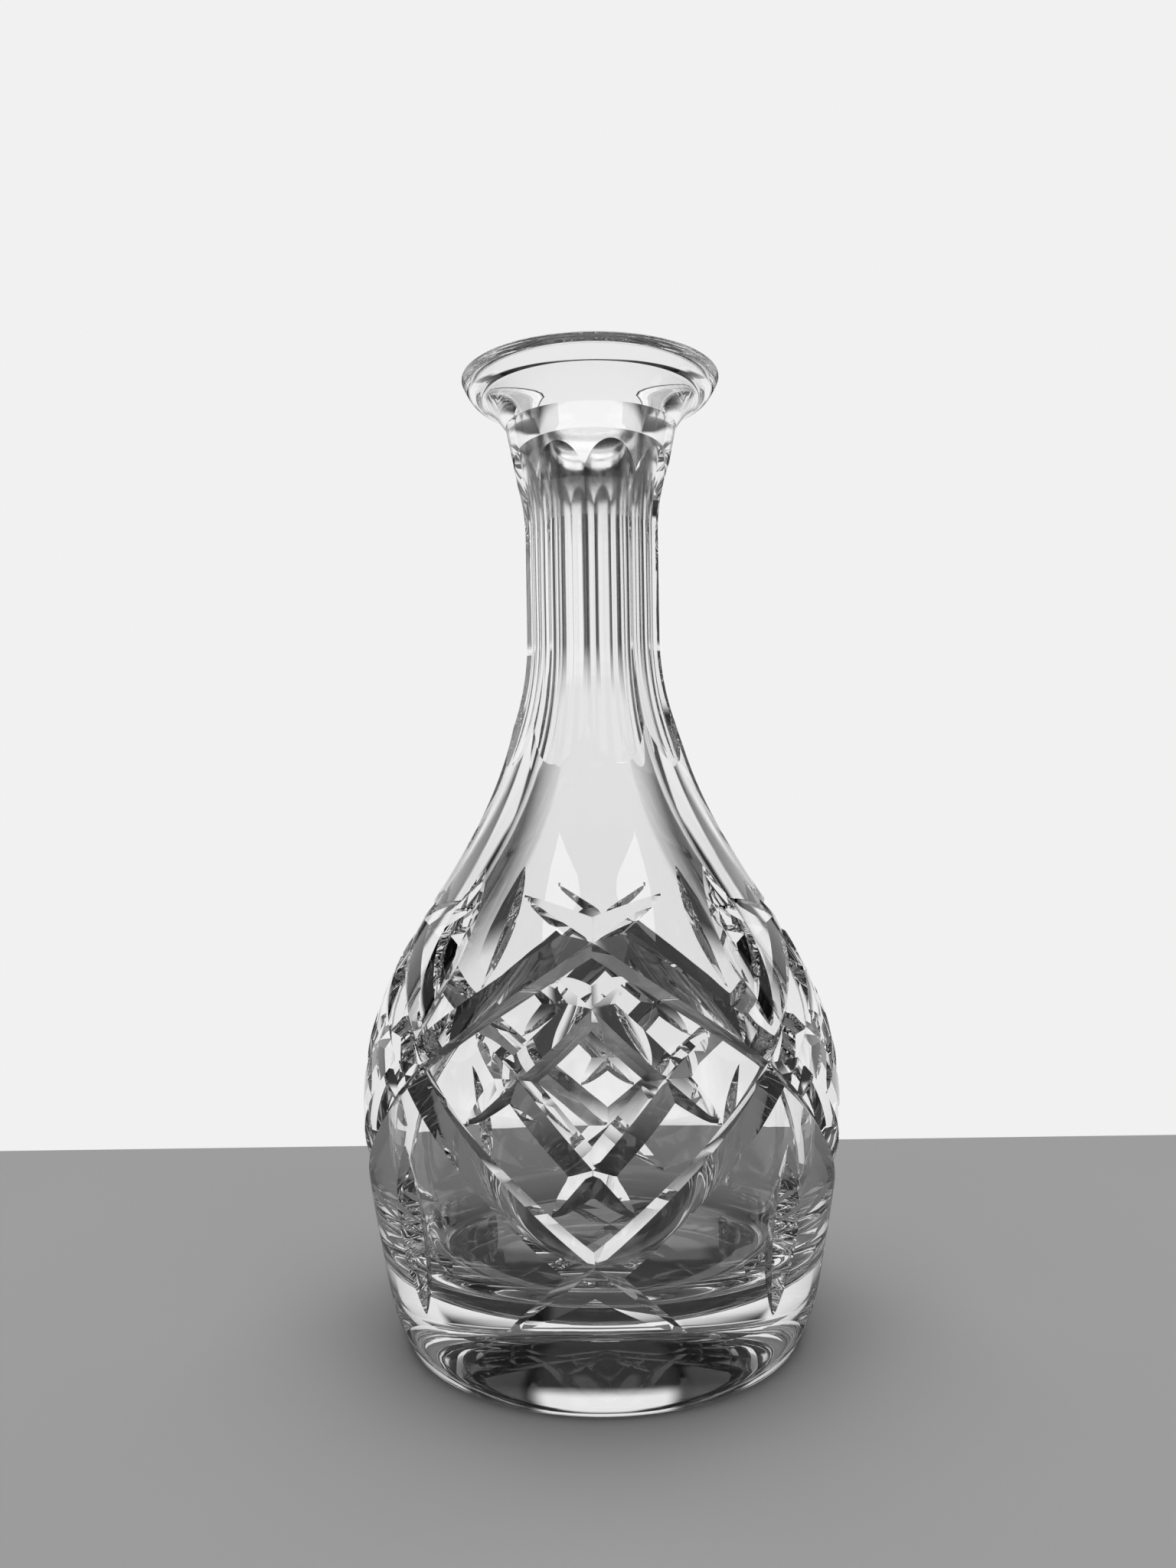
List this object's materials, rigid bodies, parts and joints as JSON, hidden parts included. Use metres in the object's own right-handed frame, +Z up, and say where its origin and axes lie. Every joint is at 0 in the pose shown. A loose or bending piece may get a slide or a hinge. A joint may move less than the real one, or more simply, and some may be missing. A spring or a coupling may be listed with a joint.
{
  "type": "cut crystal decanter",
  "caption": "Open decanter of clear cut crystal: fluted neck under a wide flared lip, rounded body with crossed mitre-cut diamonds and upright leaves, thick flat base.",
  "frame": {"origin": "centre of the flat ground base, on the surface that the decanter stands on", "axes": "+Z up along the decanter's axis, -Y towards the middle of the cut panel that the picture shows, +X to the right in that view"},
  "size_m": [0.125, 0.125, 0.252],
  "materials": {
    "crystal": "clear, polished inside and out, with a matt ground seat in the bore"
  },
  "bodies": {
    "root": {"glass_body": "crystal"}
  },
  "joints": []
}
